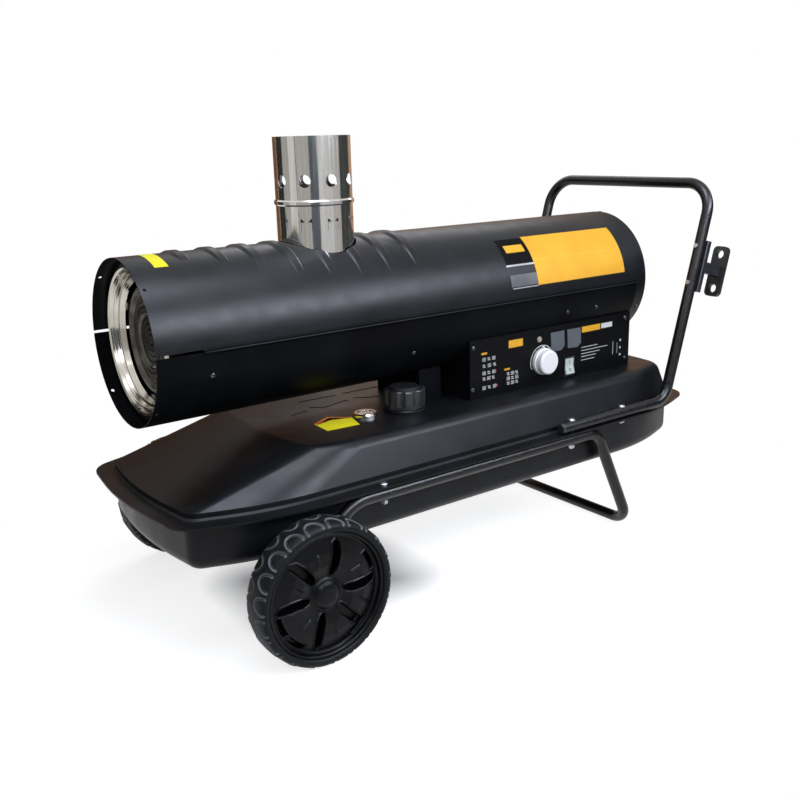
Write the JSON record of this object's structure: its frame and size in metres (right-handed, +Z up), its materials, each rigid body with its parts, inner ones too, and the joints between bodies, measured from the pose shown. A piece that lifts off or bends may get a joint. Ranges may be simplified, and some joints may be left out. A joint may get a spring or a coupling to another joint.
{
  "type": "indirect-fired diesel heater",
  "caption": "Barrel-shaped space heater with a flue, on a pressed fuel tank with a bent-tube frame, wheels and push handle.",
  "frame": {"origin": "on the floor, under the middle of the heater's overall length and width", "axes": "+X from the warm-air mouth to the rear handle, +Z up, the control panel is on the -Y side"},
  "size_m": [1.131, 0.54, 0.724],
  "materials": {
    "black_paint": "satin black stoved paint",
    "tube_paint": "black powder coat",
    "stainless": "bright rolled stainless sheet",
    "heat_steel": "pressed heat-resisting sheet",
    "zinc_steel": "zinc plated",
    "bright_chrome": "polished plating",
    "black_plastic": "moulded, fine grain",
    "wheel_plastic": "moulded, smooth",
    "rubber_tread": "moulded solid rubber",
    "seal_rubber": "sheet rubber",
    "white_plastic": "moulded, glossy",
    "grey_plastic": "printed scale ring",
    "switch_white": "moulded rocker",
    "amber_lens": "moulded lens",
    "clear_window": "clear moulded window",
    "panel_black": "black film on steel",
    "motor_grey": "grey enamel",
    "aluminium_cast": "die cast",
    "ceramic": "glazed ceramic",
    "board_green": "lacquered circuit board",
    "copper_line": "drawn copper tube",
    "pointer_orange": "painted pointer",
    "clear_bowl": "moulded filter bowl"
  },
  "bodies": {
    "heater": {"upper_shell": "black_paint", "lower_shell": "black_paint", "casing_screws": "zinc_steel", "rear_cover": "black_paint", "outlet_ring": "stainless", "heat_exchanger": "heat_steel", "combustion_chamber": "heat_steel", "chamber_brackets": "heat_steel", "flue_pipe": "stainless", "tank_upper_shell": "black_paint", "tank_lower_shell": "black_paint", "drain_plug": "zinc_steel", "filler_neck": "black_paint", "filler_strainer": "black_plastic", "gauge_body": "bright_chrome", "gauge_lens": "clear_window", "leg_frame": "tube_paint", "handle": "tube_paint", "tube_bolts": "zinc_steel", "tube_end_plugs": "black_plastic", "cable_hook": "black_plastic", "hook_screws": "zinc_steel", "axle": "zinc_steel", "axle_washers": "zinc_steel", "axle_retainers": "zinc_steel", "control_box": "black_paint", "control_panel": "panel_black", "panel_screws": "zinc_steel", "knob_dial": "grey_plastic", "thermostat": "black_plastic", "power_lamp": "amber_lens", "rocker_frame": "black_plastic", "cord_gland": "black_plastic", "front_support": "black_paint", "burner_head": "heat_steel", "nozzle_holder": "zinc_steel", "electrodes": "ceramic", "photocell": "black_plastic", "fuel_pump": "aluminium_cast", "motor": "motor_grey", "motor_bracket": "zinc_steel", "ignition_transformer": "black_plastic", "control_board": "board_green", "fuel_pickup": "copper_line", "fuel_filter": "clear_bowl", "fuel_line": "copper_line", "nozzle_line": "copper_line"},
    "wheel_near": {"wheel_hub_near": "wheel_plastic", "tyre_near": "rubber_tread", "hub_cap_near": "wheel_plastic"},
    "wheel_far": {"wheel_hub_far": "wheel_plastic", "tyre_far": "rubber_tread", "hub_cap_far": "wheel_plastic"},
    "fan_rotor": {"fan": "aluminium_cast"},
    "cap": {"filler_cap": "black_plastic", "cap_seal": "seal_rubber"},
    "knob": {"thermostat_knob": "white_plastic"},
    "switch_rocker": {"rocker": "switch_white"},
    "float": {"float_arm": "black_plastic"},
    "pointer": {"gauge_pointer": "pointer_orange"}
  },
  "joints": [
    {"name": "wheel_near_spin", "type": "hinge", "parent": "heater", "child": "wheel_near", "pos_m": [-0.375, -0.245, 0.108], "axis": [0, 1, 0], "continuous": true},
    {"name": "wheel_far_spin", "type": "hinge", "parent": "heater", "child": "wheel_far", "pos_m": [-0.375, 0.245, 0.108], "axis": [0, 1, 0], "continuous": true},
    {"name": "fan_spin", "type": "hinge", "parent": "heater", "child": "fan_rotor", "pos_m": [0.382, 0, 0.446], "axis": [1, 0, 0], "continuous": true},
    {"name": "filler_cap_turn", "type": "hinge", "parent": "heater", "child": "cap", "pos_m": [-0.098, -0.076, 0.3], "axis": [0, 0, 1], "range_deg": [0, 90]},
    {"name": "thermostat_turn", "type": "hinge", "parent": "heater", "child": "knob", "pos_m": [0.184, -0.115, 0.3264], "axis": [0, -1, 0], "range_deg": [-135, 135]},
    {"name": "power_switch_tip", "type": "hinge", "parent": "heater", "child": "switch_rocker", "pos_m": [0.2535, -0.1055, 0.305], "axis": [1, 0, 0], "range_deg": [0, 14]},
    {"name": "float_swing", "type": "hinge", "parent": "heater", "child": "float", "pos_m": [-0.17, -0.066, 0.243], "axis": [0, 1, 0], "range_deg": [-50, 12]},
    {"name": "gauge_pointer_turn", "type": "hinge", "parent": "heater", "child": "pointer", "pos_m": [-0.17, -0.066, 0.284], "axis": [0, 0, 1], "range_deg": [-75, 18]}
  ],
  "couplings": [
    {"joint": "gauge_pointer_turn", "follows": "float_swing", "ratio": 1.5}
  ]
}
